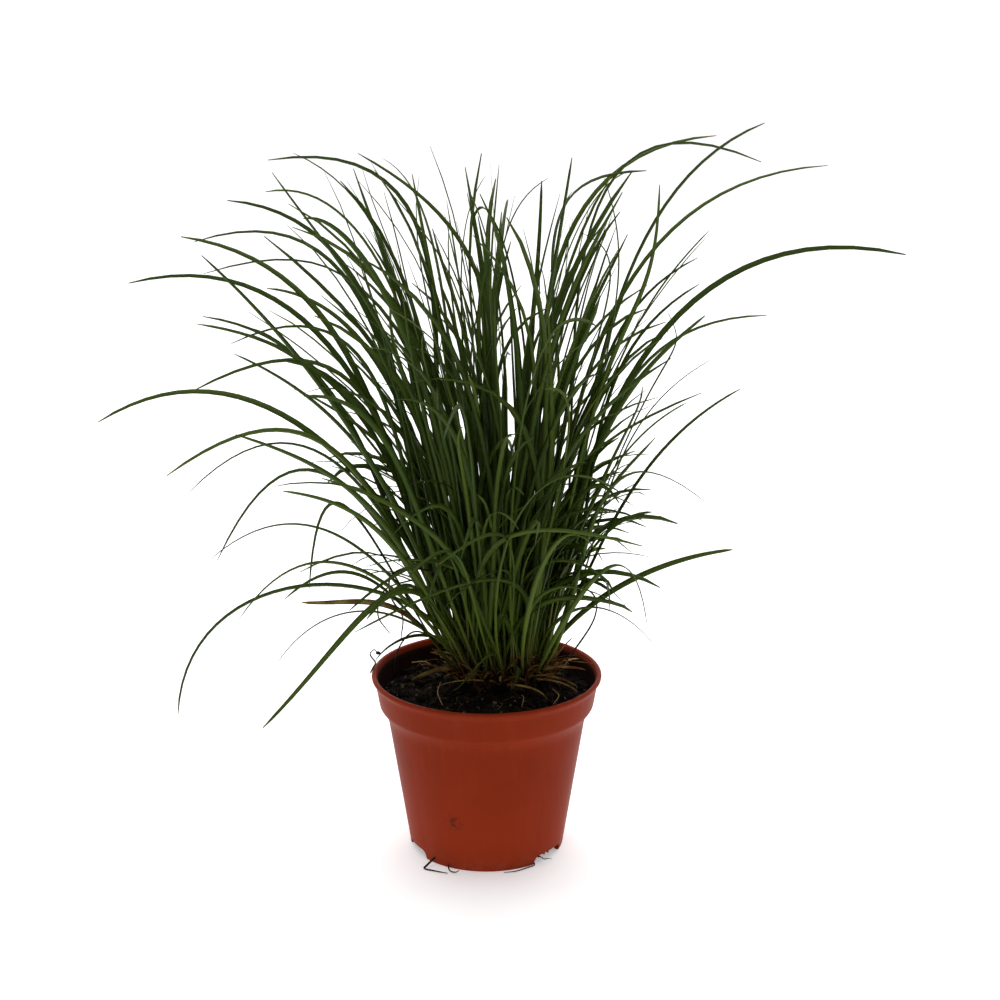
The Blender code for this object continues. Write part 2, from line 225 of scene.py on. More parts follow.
# Wiry stems, root ends and one curled sprout: points on the way (x, y, z) and the thickness, in mm, then the
# tone, from 0 for near black to 1 for straw.
WIRES = (
    (((36, 9, 90), (48, 8, 107), (56, 8, 121), (57, 8, 132), (51, 7, 138.5), (40, 4, 141)), 1.2, 0.25),
    (((-22, -4, 150), (-40, -9, 155), (-49, -10, 150), (-48.5, -10, 139), (-43, -10, 129), (-44, -10, 117)),
     1.12, 0.2),
    (((-14, 12, 98), (-31, 12, 111), (-40, 12, 112), (-47, 12, 102), (-49, 12, 90)), 0.96, 0.15),
    (((-34, 2, 146), (-52, -2, 141), (-56, -4, 128), (-50, -5, 118)), 0.96, 0.2),
    (((-61, 4, 92.7), (-59.6, 5, 95.4), (-58.4, 6, 97.8), (-60.4, 6, 100.9), (-61, 6, 102.9), (-59, 6, 105),
      (-57.2, 6, 103.5)), 0.88, 0.1),
    (((-27, -31, 3.5), (-31, -35, 1.2), (-32, -37.5, 0.6), (-27, -40, 0.6), (-20, -43, 0.7)), 1.12, 0.05),
    (((-20, -34, 1.5), (-19, -40, 0.8), (-16, -42.5, 1.0), (-14, -42, 1.8)), 0.8, 0.3),
    (((22, -31, 3), (25, -33, 0.8), (21, -36.5, 0.6), (15, -40.5, 0.6), (9, -42, 0.6)), 0.8, 0.2),
    (((27, -28, 3.5), (30, -30, 2.4), (31.5, -31.5, 3.4), (34, -29, 2.0)), 0.64, 0.5),
    (((-24, -4, 90.5), (-25, -20, 91), (-22, -36, 90.5)), 0.56, 1.0),
    (((18, -22, 90.5), (19, -30, 92.5), (18, -38, 90.5)), 0.56, 0.9),
    (((34, -14, 91), (37, -26, 92), (34, -34, 90.5)), 0.56, 1.0),
    (((-40, 24, 91), (-32, 14, 95), (-24, 8, 92)), 0.64, 1.0),
)
# Where the sprout ends in its small dark head.
SPROUT_HEAD = (-0.0569, 0.0060, 0.1032)
# The largest pale lumps on the potting mix: x, y and radius in mm.
PALE_LUMPS = (
    (-43, 20, 1.6), (-9, -21, 1.7), (4, -19, 1.9), (18, -13, 1.6), (-30, -16, 1.3), (30, -24, 1.4),
    (-44, 4, 1.2), (8, -30, 1.5), (-20, -26, 1.2), (44, -2, 1.2), (-36, -8, 1.6), (12, -24, 1.1),
    (-12, -33, 1.1),
)

# Where a dark smudge lies on the pot's side.
SMUDGE = (-0.0175, -0.0435, 0.028)

# The shoots stand in an oval: how far its middle lies behind the crown's, and its depth as a share of its
# width.
ROOTS_BACK = 4.5 * MM
ROOTS_DEPTH = 0.66

# The heading of the middle of the pot's front foot, in degrees, and where its notches and drain holes lie.
FRONT_FOOT = -96.5
NOTCH_REACH = 40.4 * MM
DRAIN_REACH = 24.0 * MM
DRAIN_RADIUS = 3.5 * MM

# Colours that don't go with a setting: a leaf's pale sheath, dust and grime on the pot, its smudge and the
# soil stuck inside its lip.
SHEATH_PALE = (0.31, 0.23, 0.09)
DUST = (0.30, 0.12, 0.07)
GRIME = (0.03, 0.018, 0.012)
SMUDGE_DARK = (0.04, 0.012, 0.008)
STUCK_SOIL = (0.012, 0.007, 0.005)

# How bright the white room is in front of and behind the clump, and how much dimmer at both sides.
FRONT_LIGHT = 0.32
BACK_LIGHT = 2.1
SIDE_DIMMING = 0.9
# The soft square lights: name, place, size in metres and power in watts. They all face LIT_POINT.
LIGHTS = (
    ("soft_top", (0.0, 0.5, 1.8), 1.8, 22.0),
    ("soft_left", (-1.4, 0.9, 0.7), 1.0, 1.4),
    ("soft_right", (1.5, 0.7, 0.8), 1.0, 1.6),
)
LIT_POINT = (0.0, 0.0, 0.2)

# Rows of faces in a blade: few where a blade is repeated hundreds of times.
LEAF_ROWS = 16
LONG_LEAF_ROWS = 30
STRAND_ROWS = 9


# ------------------------------------------------------------------ settings

class GrassLeafSettings(bpy.types.PropertyGroup):
    leaves_per_tuft: IntProperty(
        name="Leaves per tuft", description="How many blades each tuft is made of", default=20,
        min=1, max=60,
    )
    threads_per_tuft: IntProperty(
        name="Threads per tuft", description="How many hair-fine blades each tuft has", default=1,
        min=0, max=30,
    )
    blade_width: FloatProperty(
        name="Blade width", description="Width of an average blade", default=0.0030, min=0.0005,
        unit="LENGTH",
    )
    blade_green: FloatVectorProperty(
        name="Blade", description="Colour of a grown leaf", subtype="COLOR", size=3,
        default=(0.0285, 0.053, 0.0062),
    )
    young_green: FloatVectorProperty(
        name="Young", description="Colour near the base and on young leaves", subtype="COLOR", size=3,
        default=(0.118, 0.172, 0.020),
    )
    straw: FloatVectorProperty(
        name="Straw", description="Colour of a dry leaf", subtype="COLOR", size=3,
        default=(0.38, 0.25, 0.08),
    )
    rust: FloatVectorProperty(
        name="Rust", description="Colour of an old sheath", subtype="COLOR", size=3,
        default=(0.19, 0.062, 0.020),
    )


class GrassPotSettings(bpy.types.PropertyGroup):
    plastic: FloatVectorProperty(
        name="Plastic", description="Colour of the pot", subtype="COLOR", size=3,
        default=(0.236, 0.0246, 0.0060),
    )
    segments: IntProperty(
        name="Segments", description="Sides of the round pot", default=120, min=24, max=240
    )


class GrassSoilSettings(bpy.types.PropertyGroup):
    peat: FloatVectorProperty(
        name="Peat", description="Colour of the potting mix", subtype="COLOR", size=3,
        default=(0.006, 0.0042, 0.003),
    )
    crumbs: IntProperty(name="Crumbs", description="Loose crumbs on the surface", default=2600, min=0)
    flecks: IntProperty(name="Flecks", description="Pale perlite and bark flecks", default=150, min=0)
    fibres: IntProperty(name="Fibres", description="Fine root and peat fibres", default=130, min=0)


class GrassStageSettings(bpy.types.PropertyGroup):
    lens: FloatProperty(name="Lens", description="Focal length of the camera, in mm", default=75.0, min=10.0)
    pitch: FloatProperty(
        name="Pitch", description="How far the camera looks down", default=math.radians(16.33),
        subtype="ANGLE",
    )
    eye: FloatVectorProperty(
        name="Eye", description="Where the camera stands", subtype="XYZ", size=3, unit="LENGTH",
        default=(0.007, -1.019, 0.487),
    )


# ------------------------------------------------------------------ shader maths

class Wire:
    """An output socket that Python's operators work on: each adds a Math node."""

    def __init__(self, paint, socket):
        self.paint = paint
        self.socket = socket

    def maths(self, operation, first, second=0.0):
        return self.paint.add("ShaderNodeMath", {"operation": operation}, {0: first, 1: second})

    def __add__(self, other):
        return self.maths("ADD", self, other)

    def __radd__(self, other):
        return self.maths("ADD", other, self)

    def __sub__(self, other):
        return self.maths("SUBTRACT", self, other)

    def __rsub__(self, other):
        return self.maths("SUBTRACT", other, self)

    def __mul__(self, other):
        return self.maths("MULTIPLY", self, other)

    def __rmul__(self, other):
        return self.maths("MULTIPLY", other, self)

    def clamped(self):
        return self.paint.add("ShaderNodeClamp", {}, {0: self})

    def between(self, low, high):
        """0 below low, 1 above high, smooth between; high may be under low."""
        return self.paint.add(
            "ShaderNodeMapRange", {"interpolation_type": "SMOOTHSTEP"}, {0: self, 1: low, 2: high}
        )


class Paint:
    """One material and its nodes."""

    def __init__(self, name):
        self.material = bpy.data.materials.new(name)
        self.material.use_nodes = True
        self.tree = self.material.node_tree
        self.tree.nodes.clear()

    def add(self, kind, settings, sockets, output=0):
        """Any node: its settings first, then its sockets' values or links. Returns one of its outputs."""
        node = self.tree.nodes.new(kind)
        for name, value in settings.items():
            if name == "stops":
                self.set_stops(node.color_ramp, value)
            else:
                setattr(node, name, value)
        for key, value in sockets.items():
            if isinstance(value, Wire):
                self.tree.links.new(value.socket, node.inputs[key])
            else:
                node.inputs[key].default_value = value
        return Wire(self, node.outputs[output])

    def set_stops(self, ramp, stops):
        while len(ramp.elements) < len(stops):
            ramp.elements.new(1.0)
        for element, (position, colour) in zip(ramp.elements, stops):
            element.position = position
            element.color = (*colour, 1.0)

    def place(self):
        return self.add("ShaderNodeTexCoord", {}, {}, "Object")

    def stretched(self, vector, scale):
        return self.add("ShaderNodeMapping", {}, {"Vector": vector, "Scale": scale})

    def attribute(self, name):
        return self.add("ShaderNodeAttribute", {"attribute_name": name}, {}, "Fac")

    def noise(self, vector, scale, detail=3.0, roughness=0.5):
        sockets = {"Vector": vector, "Scale": scale, "Detail": detail, "Roughness": roughness}
        return self.add("ShaderNodeTexNoise", {}, sockets, "Fac")

    def mix(self, factor, first, second):
        """Mixes two colours, each a Wire or three numbers."""
        first, second = (c if isinstance(c, Wire) else (*c, 1.0) for c in (first, second))
        return self.add("ShaderNodeMix", {"data_type": "RGBA"}, {0: factor, 6: first, 7: second}, 2)

    def measured(self, operation, first, second):
        """One number from two vectors."""
        return self.add("ShaderNodeVectorMath", {"operation": operation}, {0: first, 1: second}, "Value")

    def bump(self, height, distance, strength=1.0):
        return self.add(
            "ShaderNodeBump", {}, {"Height": height, "Distance": distance, "Strength": strength}, "Normal"
        )

    def finish(self, sockets):
        """Ends the material in one Principled shader and hands it back."""
        shader = self.add("ShaderNodeBsdfPrincipled", {}, sockets, "BSDF")
        output = self.tree.nodes.new("ShaderNodeOutputMaterial")
        self.tree.links.new(shader.socket, output.inputs["Surface"])
        return self.material


def once(maker):
    """A material function that makes its material the first time and hands it back afterwards."""
    made = {}

    def handed():
        if maker.__name__ not in made:
            made[maker.__name__] = maker()
        return made[maker.__name__]

    return handed


@once
def leaf_finish():
    """Dark green, paler towards the sheath, browned at some tips, with fine veins along the blade."""
    look = bpy.context.scene.grass_leaves
    paint = Paint("leaf_green")
    along = paint.attribute("along")
    across = paint.attribute("across")
    tone = paint.attribute("tone")
    dry = paint.attribute("dry")
    place = paint.place()
    veins = paint.add("ShaderNodeTexWave", {"bands_direction": "X"}, {
        "Vector": paint.add("ShaderNodeCombineXYZ", {}, {0: across * 0.5, 1: along * 0.2, 2: tone}),
        "Scale": 2.2, "Distortion": 0.6, "Detail": 1.0,
    }, "Fac")
    patches = paint.noise(place, 90.0, 3.0)
    young = (along.between(0.42, 0.0) * 0.75 + tone * tone * 0.42 + patches * 0.12 - 0.06).clamped()
    green = paint.mix(young, tuple(look.blade_green), tuple(look.young_green))
    green = paint.mix(veins * 0.22, green, tuple(look.young_green))
    sheath = along.between(0.14, 0.0) * (0.4 + tone * 0.6)
    green = paint.mix(sheath, green, SHEATH_PALE)
    old = paint.mix(paint.noise(place, 160.0).between(0.35, 0.65), tuple(look.rust), tuple(look.straw))
    browned = (dry + along.between(0.955, 1.0) * tone * 0.6 - (1.0 - patches) * 0.15).between(0.15, 0.6)
    colour = paint.mix(browned, green, old)
    height = veins * 0.6 + paint.noise(paint.stretched(place, (1.0, 1.0, 0.2)), 2200.0) * 0.4
    return paint.finish({
        "Base Color": colour,
        "Roughness": 0.42 + patches * 0.2 + browned * 0.2,
        "Specular IOR Level": 0.1,
        "Normal": paint.bump(height, 0.00012, 0.6),
    })


@once
def pot_finish():
    """Satin terracotta-coloured plastic: faint flow lines, scuffs, a dusty foot and soil inside the lip; its
    lower part is painted lighter towards the foot, a painted highlight standing in for light bounced up from
    the floor.
    """
    look = bpy.context.scene.grass_pot
    paint = Paint("pot_plastic")
    place = paint.place()
    height_up = paint.add("ShaderNodeSeparateXYZ", {}, {0: place}, 2)
    cloud = paint.noise(place, 22.0, 4.0)
    streaks = paint.noise(paint.stretched(place, (1.0, 1.0, 0.06)), 260.0, 3.0)
    specks = paint.noise(place, 900.0, 2.0, 0.6).between(0.66, 0.74)
    base = tuple(look.plastic)
    shade = tuple(0.84 * c for c in base)
    colour = paint.mix(cloud.between(0.35, 0.65) * 0.6, base, shade)
    colour = paint.mix(streaks.between(0.45, 0.75) * 0.16, colour, tuple(1.25 * c + 0.01 for c in base))
    # Painted light: the lower 60 mm are lightened towards the foot, a painted highlight standing in for light
    # bounced up from the floor; this is not dust.
    colour = paint.mix(height_up.between(0.06, 0.0) * 0.5, colour, tuple(1.6 * c for c in base))
    foot = height_up.between(0.012, 0.0)
    dust = (foot * 0.16 + cloud.between(0.6, 0.85) * 0.12) * paint.noise(place, 240.0, 4.0).between(0.4, 0.6)
    colour = paint.mix(dust, colour, DUST)
    dirt = specks * (foot * 0.2 + height_up.between(POT_HEIGHT - 0.004, POT_HEIGHT) * 0.35 + 0.06)
    colour = paint.mix(dirt, colour, GRIME)
    from_smudge = paint.measured("DISTANCE", place, SMUDGE)
    smudge = from_smudge.between(0.0075, 0.002) * paint.noise(place, 420.0, 3.0).between(0.42, 0.62)
    colour = paint.mix(smudge * 0.6, colour, SMUDGE_DARK)
    facing = paint.add("ShaderNodeNewGeometry", {}, {}, "Normal")
    outwards = paint.measured("DOT_PRODUCT", facing, place)
    ragged = paint.noise(place, 300.0, 4.0) * 0.005
    soiled = (height_up - ragged).between(POT_HEIGHT + 0.0005, POT_HEIGHT - 0.0015)
    inside = outwards.between(-0.004, -0.02) * soiled
    colour = paint.mix(inside * 0.96, colour, STUCK_SOIL)
    scuffs = paint.noise(paint.stretched(place, (1.0, 1.0, 3.0)), 420.0, 5.0, 0.7)
    return paint.finish({
        "Base Color": colour,
        "Roughness": 0.36 + scuffs * 0.16 + dust * 0.3,
        "IOR": 1.15,
        "Specular IOR Level": 0.25,
        "Normal": paint.bump(scuffs * 0.3 + streaks * 0.7, 0.0001, 0.35),
    })


@once
def soil_finish():
    look = bpy.context.scene.grass_soil
    paint = Paint("potting_mix")
    place = paint.place()
    grains = paint.noise(place, 900.0, 5.0, 0.65)
    patches = paint.noise(place, 120.0, 3.0)
    dark = tuple(look.peat)
    colour = paint.mix(patches.between(0.4, 0.7), dark, tuple(4.2 * c for c in dark))
    colour = paint.mix(grains.between(0.56, 0.72) * 0.5, colour, (0.065, 0.05, 0.026))
    return paint.finish({
        "Base Color": colour,
        "Roughness": 0.82 + grains * 0.15,
        "Specular IOR Level": 0.06,
        "Normal": paint.bump(grains, 0.0012, 1.0),
    })


@once
def fleck_finish():
    """Pale crumbs: perlite, bark and shell, each with its own tone."""
    paint = Paint("pale_flecks")
    tone = paint.attribute("tone")
    grains = paint.noise(paint.place(), 1800.0, 3.0)
    colour = paint.add("ShaderNodeValToRGB", {"stops": (
        (0.0, (0.05, 0.035, 0.012)), (0.45, (0.11, 0.09, 0.035)), (0.8, (0.23, 0.20, 0.10)),
        (1.0, (0.44, 0.41, 0.29)),
    )}, {0: tone}, "Color")
    colour = paint.mix(grains.between(0.4, 0.6) * 0.5, colour, (0.06, 0.045, 0.02))
    return paint.finish({
        "Base Color": colour,
        "Roughness": 0.85,
        "Specular IOR Level": 0.2,
        "Normal": paint.bump(grains, 0.0004),
    })


@once
def fibre_finish():
    """Roots, wiry stems and peat fibres, from near black to straw by each one's tone."""
    paint = Paint("fibres")
    tone = paint.attribute("tone")
    grains = paint.noise(paint.place(), 1400.0, 2.0)
    colour = paint.add("ShaderNodeValToRGB", {"stops": (
        (0.0, (0.012, 0.008, 0.007)), (0.5, (0.07, 0.035, 0.015)), (1.0, (0.34, 0.22, 0.09)),
    )}, {0: (tone + grains * 0.3 - 0.15).clamped()}, "Color")
    return paint.finish({"Base Color": colour, "Roughness": 0.7, "Specular IOR Level": 0.2})


@once
def floor_finish():
    paint = Paint("floor")
    tone = paint.noise(paint.place(), 3.0, 2.0)
    colour = paint.mix(tone, (0.93, 0.93, 0.93), (0.95, 0.95, 0.95))
    return paint.finish({
        "Base Color": colour, "Roughness": 0.9, "Specular IOR Level": 0.0,
        "Emission Color": (1.0, 1.0, 1.0, 1.0), "Emission Strength": 0.34,
    })


# ------------------------------------------------------------------ modelling helpers

def start_clean():
    if bpy.context.mode != "OBJECT":
        bpy.ops.object.mode_set(mode="OBJECT")
    bpy.ops.object.select_all(action="DESELECT")


def name_piece(name):
    """The active object, renamed, with its place put into its mesh."""
    piece = bpy.context.active_object
    piece.name = name
    piece.data.name = name
    bpy.ops.object.transform_apply(location=True, rotation=True, scale=True)
    return piece


def show(piece, finish, slot, *replaced):
    """Gives a finished piece its material and body, and hides the frame nodes it stands for. The slot
    argument is not used.
    """
    piece.data.materials.clear()
    piece.data.materials.append(finish)
    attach(piece, "root")
    if replaced:
        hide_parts(*replaced)


def extrude_rings(profile, segments, name):
    """A round closed body: a filled circle, extruded and resized from point to point, then filled again."""
    start_clean()
    radius, height = profile[0]
    bpy.ops.mesh.primitive_circle_add(
        vertices=segments, radius=radius, fill_type="NGON", location=(0.0, 0.0, height)
    )
    body = name_piece(name)
    bpy.ops.object.mode_set(mode="EDIT")
    bpy.ops.mesh.select_mode(type="EDGE")
    bpy.ops.mesh.select_all(action="SELECT")
    bpy.ops.mesh.region_to_loop()
    for radius_next, height_next in profile[1:]:
        bpy.ops.mesh.extrude_edges_move(
            TRANSFORM_OT_translate={"value": (0.0, 0.0, height_next - height)}
        )
        ratio = radius_next / radius
        bpy.ops.transform.resize(value=(ratio, ratio, 1.0), center_override=(0.0, 0.0, height_next))
        radius, height = radius_next, height_next
    bpy.ops.mesh.edge_face_add()
    bpy.ops.mesh.select_all(action="SELECT")
    bpy.ops.mesh.normals_make_consistent(inside=False)
    bpy.ops.object.mode_set(mode="OBJECT")
    return body


def subtract(body, tool):
    boolean = body.modifiers.new("cut", "BOOLEAN")
    boolean.operation = "DIFFERENCE"
    boolean.solver = "EXACT"
    boolean.object = tool
    start_clean()
    body.select_set(True)
    bpy.context.view_layer.objects.active = body
    bpy.ops.object.modifier_apply(modifier=boolean.name)
    bpy.data.objects.remove(tool)


class Shape:
    """A small model's points and faces, to be copied many times into one mesh."""

    def __init__(self, source, rows=0):
        self.points = np.array([vertex.co for vertex in source.data.vertices])
        self.faces = [tuple(face.vertices) for face in source.data.polygons]
        self.rows = rows
        bpy.data.objects.remove(source)


def joined(name, faces_of_one, copies, attributes):
    """One mesh of many copies: copies are arrays of points, attributes are {name: one array a copy}."""
    count = len(copies[0])
    faces = [
        tuple(corner + number * count for corner in face)
        for number in range(len(copies))
        for face in faces_of_one
    ]
    mesh = bpy.data.meshes.new(name)
    mesh.from_pydata(np.concatenate(copies).tolist(), [], faces)
    for key, values in attributes.items():
        layer = mesh.attributes.new(key, "FLOAT", "POINT")
        layer.data.foreach_set("value", np.concatenate(values).astype(np.float32))
    mesh.shade_smooth()
    piece = bpy.data.objects.new(name, mesh)
    bpy.context.collection.objects.link(piece)
    return piece


def set_tone(piece, tone):
    """Gives all of a piece the one tone, which its material reads."""
    layer = piece.data.attributes.new("tone", "FLOAT", "POINT")
    layer.data.foreach_set("value", np.full(len(piece.data.vertices), tone, np.float32))


# ------------------------------------------------------------------ one blade, bent along many arcs

def model_blade(rows, round_section=False):
    """A leaf one unit long and wide, upright: a V in section, extruded row by row to a point. Or a wire."""
    start_clean()
    bpy.ops.mesh.primitive_circle_add(vertices=4, radius=0.5, fill_type="NGON", location=(0.0, 0.0, 0.0))
    blade = name_piece("blade_pattern")
    bpy.ops.object.mode_set(mode="EDIT")
    bpy.ops.mesh.select_all(action="SELECT")
    if not round_section:
        bpy.ops.transform.resize(value=(1.0, 0.12, 1.0), center_override=(0.0, 0.0, 0.0))
        shape = bmesh.from_edit_mesh(blade.data)
        for vertex in shape.verts:
            vertex.select_set(abs(vertex.co.x) < 0.1)
        shape.select_flush_mode()
        bmesh.update_edit_mesh(blade.data)
        bpy.ops.transform.translate(value=(0.0, -0.2, 0.0))
        bpy.ops.mesh.select_all(action="SELECT")
    width_at = wire_width if round_section else blade_width
    width = width_at(0.0)
    bpy.ops.transform.resize(value=(width, width, 1.0), center_override=(0.0, 0.0, 0.0))
    for row in range(1, rows + 1):
        along = row / rows
        bpy.ops.mesh.extrude_region_move(TRANSFORM_OT_translate={"value": (0.0, 0.0, 1.0 / rows)})
        ratio = width_at(along) / width
        bpy.ops.transform.resize(value=(ratio, ratio, 1.0), center_override=(0.0, 0.0, along))
        width *= ratio
    bpy.ops.mesh.select_all(action="SELECT")
    bpy.ops.mesh.normals_make_consistent(inside=False)
    bpy.ops.object.mode_set(mode="OBJECT")
    return Shape(blade, rows)


def wire_width(along):
    return 1.0 - 0.55 * along**3


def blade_width(along):
    """Of the full width: narrower at the sheath, full in the middle, drawn out to a fine point."""
    if along > 0.999:
        return 0.16
    sheath = 0.5 + 0.5 * min(1.0, along / 0.28)
    return sheath * (1.0 - 0.6 * max(0.0, (along - 0.4) / 0.6) ** 2.2)


def arc_through(start, third, two_thirds, tip):
    """Points along the cubic that passes a third of the way, two thirds and the tip on time."""
    leave = (-5 * start + 18 * third - 9 * two_thirds + 2 * tip) / 6
    arrive = (2 * start - 9 * third + 18 * two_thirds - 5 * tip) / 6

    def at(t):
        s = 1 - t
        return s**3 * start + 3 * s * s * t * leave + 3 * s * t * t * arrive + t**3 * tip

    return [at(row / LONG_LEAF_ROWS) for row in range(LONG_LEAF_ROWS + 1)]


def smooth_through(points, rows):
    """A soft curve through any number of points, rows + 1 points long."""
    ends = [2 * points[0] - points[1], *points, 2 * points[-1] - points[-2]]
    curve = []
    for row in range(rows + 1):
        place = row / rows * (len(points) - 1)
        number = min(int(place), len(points) - 2)
        t = place - number
        before, first, last, after = ends[number:number + 4]
        curve.append(0.5 * (
            2 * first + (last - before) * t + (2 * before - 5 * first + 4 * last - after) * t * t
            + (3 * first - before - 3 * last + after) * t**3
        ))
    return curve


def arc_bending(start, heading, length, lean, droop, late, sweep, rows=LEAF_ROWS, straighten=0.0):
    """An arc that leaves at an angle from upright, may straighten, and droops more and more to its tip."""
    points = [start.copy()]
    steps = 4
    for row in range(rows * steps):
        t = (row + 0.5) / (rows * steps)
        tilt = lean * (1.0 - straighten * math.sin(math.pi / 2 * min(1.0, 1.3 * t))) + droop * t**late
        turn = heading + sweep * t * t
        step = Vector((math.sin(tilt) * math.cos(turn), math.sin(tilt) * math.sin(turn), math.cos(tilt)))
        start = start + step * (length / (rows * steps))
        if (row + 1) % steps == 0:
            points.append(start.copy())
    return points


def outside(points, reach):
    """Whether an arc strays further from the pot's axis, or higher, than it may."""
    return any(math.hypot(point.x, point.y) > reach or point.z > CAD_BOUNDS[1].z for point in points)


def waved(points, dice, height):
    """An arc made a little unsteady: it strays more and more from its course towards the tip."""
    phase = Vector((dice.uniform(0.0, 50.0), dice.uniform(0.0, 50.0), dice.uniform(0.0, 50.0)))
    strayed = []
    for row, point in enumerate(points):
        along = row / (len(points) - 1)
        stray = noise.noise_vector(phase + Vector((along * 3.2, 0.0, 0.0))) * height * along
        strayed.append(point + stray)
    return strayed


def bent_blade(pattern, points, width, turn, twist):
    """The pattern's points carried along an arc: its width level at first, turned by turn and twist."""
    path = np.array([tuple(point) for point in points])
    rows = np.rint(pattern.points[:, 2] * pattern.rows).astype(int)
    tangent = np.gradient(path, axis=0)
    tangent /= np.linalg.norm(tangent, axis=1, keepdims=True)
    course = path[-1] - path[0]
    level = np.array([-course[1], course[0], 0.0])
    level /= max(np.linalg.norm(level), 1e-9)
    side = level - tangent * (tangent @ level)[:, None]
    side /= np.linalg.norm(side, axis=1, keepdims=True)
    face = np.cross(tangent, side)
    angle = turn + twist * np.linspace(0.0, 1.0, len(path))
    across = side * np.cos(angle)[:, None] + face * np.sin(angle)[:, None]
    out = np.cross(tangent, across)
    return path[rows] + width * (across[rows] * pattern.points[:, :1] + out[rows] * pattern.points[:, 1:2])


class Bundle:
    """Gathers bent blades, then makes one piece of them."""

    def __init__(self, pattern):
        self.pattern = pattern
        self.copies = []
        self.values = {"along": [], "across": [], "tone": [], "dry": []}

    def grow(self, points, width, tone, dry=0.0, turn=0.0, twist=0.0):
        count = len(self.pattern.points)
        self.copies.append(bent_blade(self.pattern, points, width, turn, twist))
        self.values["along"].append(self.pattern.points[:, 2])
        self.values["across"].append(self.pattern.points[:, 0] * 2)
        self.values["tone"].append(np.full(count, tone))
        self.values["dry"].append(np.full(count, dry))

    def piece(self, name):
        return joined(name, self.pattern.faces, self.copies, self.values)


def on_crown(heading, reach, height):
    """A place among the shoots, which stand in an oval towards the back of the crown."""
    return Vector((
        CROWN_CENTRE.x + reach * math.cos(heading),
        CROWN_CENTRE.y + ROOTS_BACK + ROOTS_DEPTH * reach * math.sin(heading),
        height,
    ))


def leaf_roll(dice, least):
    """How far a long leaf is rolled from lying flat, and how much further by its tip."""
    sense = dice.choice((-1, 1))
    return {"turn": sense * dice.uniform(least, least + 0.55), "twist": sense * abs(dice.gauss(0.0, 0.35))}


def from_axis(heading, reach, height):
    return Vector((reach * math.cos(heading), reach * math.sin(heading), height))


def mm_stations(heading, stations):
    return [from_axis(heading, reach * MM, height * MM) for reach, height in stations]


# ------------------------------------------------------------------ operators

class GRASS_OT_tufts(bpy.types.Operator):
    """Fill each tuft with its own bundle of upright and arching leaves"""

    bl_idname = "grass.tufts"
    bl_label = "Tufts"

    def execute(self, context):
        settings = context.scene.grass_leaves
        pattern = model_blade(LEAF_ROWS)
        number = 0
        for count, first, ring_radius in TUFT_RINGS:
            for place_in_ring in range(count):
                number += 1
                heading = math.radians(first + 360 * place_in_ring / count)
                dice = random.Random(400 + number)
                bundle = Bundle(pattern)
                outer = ring_radius > OUTER_RING
                for _ in range(settings.leaves_per_tuft):
                    self.grow_leaf(bundle, dice, heading, ring_radius * MM, outer, settings.blade_width)
                for _ in range(settings.threads_per_tuft):
                    self.grow_leaf(bundle, dice, heading, ring_radius * MM, outer, THREAD_WIDTH)
                name = f"tuft_{number:02d}"
                show(bundle.piece(name + "_leaves"), leaf_finish(), "leaf", name)
        return {"FINISHED"}

    def grow_leaf(self, bundle, dice, heading, ring_radius, outer, width):
        own = heading + math.radians(dice.gauss(0.0, 22.0 if outer else 60.0))
        start = on_crown(own, max(0.001, ring_radius + dice.uniform(-9.0, 3.0) * MM), SHOOT_START)
        course = own + math.radians(dice.gauss(0.0, 62.0))
        habit = dice.random()
        if habit < (0.46 if outer else 0.7):
            lengths, leans, droops = (218.0, 284.0), (2.0, 36.0), (10.0, 72.0)
        elif habit < 0.89:
            lengths, leans, droops = (195.0, 285.0), (8.0, 46.0), (45.0, 130.0)
        else:
            lengths, leans, droops = (90.0, 175.0), (6.0, 36.0), (30.0, 130.0)
        length, lean, droop = (dice.uniform(*limits) for limits in (lengths, leans, droops))
        if not outer:
            lean *= 0.5
        late = dice.uniform(1.4, 3.2)
        sweep = math.radians(dice.gauss(0.0, 42.0))
        reach = dice.uniform(64.0, 128.0 - 36.0 * max(0.0, math.cos(heading))) * MM
        lean, droop = math.radians(lean), math.radians(droop)
        straighten = dice.uniform(0.4, 0.75)
        bends = {"late": late, "sweep": sweep, "straighten": straighten}
        points = arc_bending(start, course, length * MM, lean, droop, **bends)
        while outside(points, reach):
            length *= 0.96
            lean *= 0.95
            points = arc_bending(start, course, length * MM, lean, droop, **bends)
        bundle.grow(
            waved(points, dice, 4.0 * MM), width * dice.triangular(0.55, 1.45, 0.95), dice.random() ** 1.4,
            turn=math.radians(dice.gauss(0.0, 40.0)), twist=math.radians(dice.gauss(0.0, 70.0)),
        )


